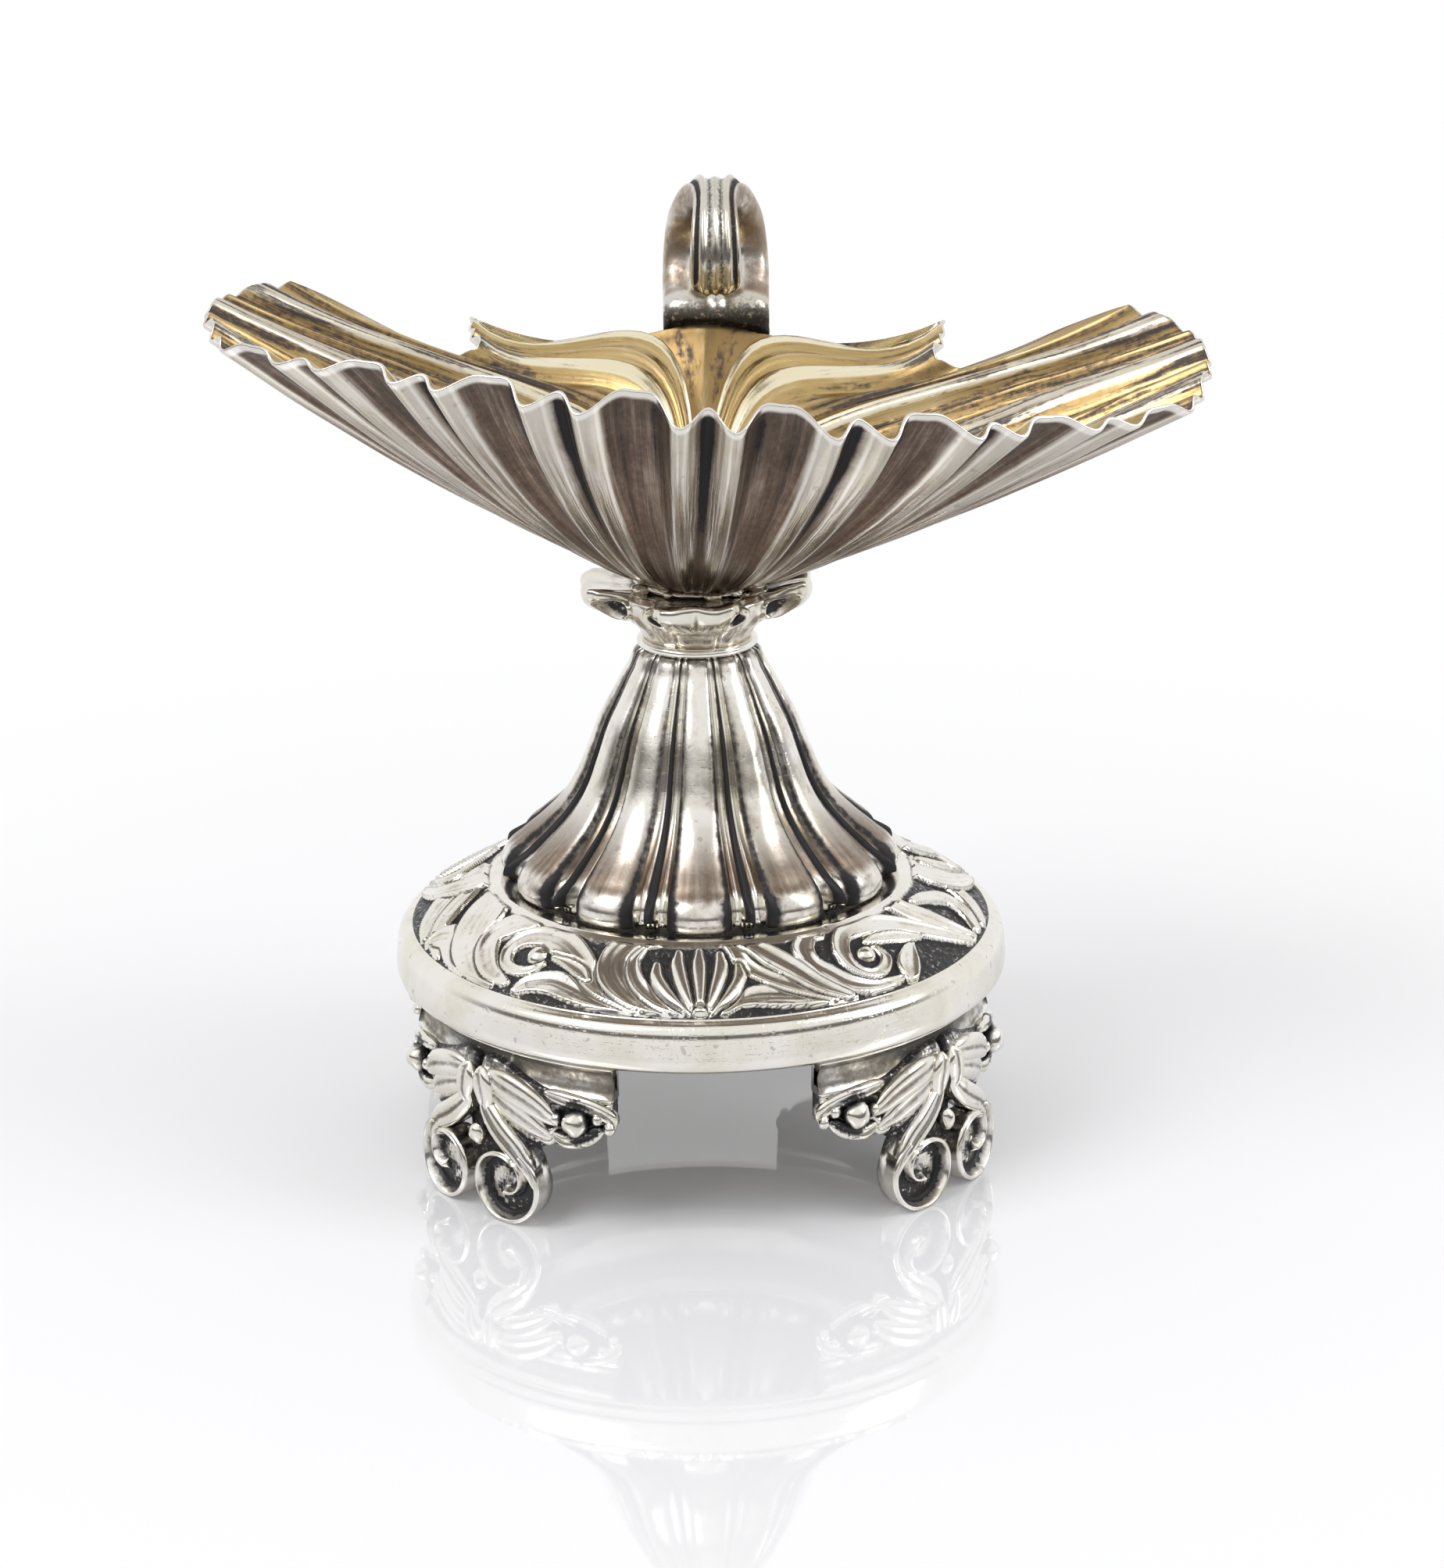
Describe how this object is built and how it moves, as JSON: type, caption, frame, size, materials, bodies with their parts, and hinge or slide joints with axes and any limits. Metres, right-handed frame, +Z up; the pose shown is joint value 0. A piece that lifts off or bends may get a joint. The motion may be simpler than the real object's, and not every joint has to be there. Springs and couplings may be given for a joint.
{
  "type": "salt cellar",
  "caption": "Pedestal salt cellar with a wide fluted shell bowl, scroll handle, leafy collar, lobed trumpet foot, round banded base and cast scroll feet.",
  "frame": {"origin": "on the axis of the pedestal, in the plane of the table under the feet", "axes": "+Z up; -Y is the front, which the shell opens towards; +X is the right wing of the shell seen from the front; the handle is at the back, towards +Y"},
  "size_m": [0.1056, 0.0677, 0.1014],
  "materials": {
    "silver": "polished silver with light scratches, tarnished brown in the flutes; gilt on the inside of the bowl",
    "cast_silver": "cast silver, polished on the high parts and oxidised dark in the hollows",
    "chased_silver": "chased silver relief on a dark oxidised ground",
    "solder": "dull grey solder with dark lumps"
  },
  "bodies": {
    "root": {"shell_bowl": "silver", "handle_left_half": "cast_silver", "handle_right_half": "cast_silver", "solder_pad": "solder", "calyx_collar": "cast_silver", "neck_ring": "silver", "fluted_pedestal": "silver", "foliate_border": "chased_silver", "base_band": "silver", "foot_front_left": "cast_silver", "foot_front_right": "cast_silver", "foot_back_left": "cast_silver", "foot_back_right": "cast_silver"}
  },
  "joints": []
}
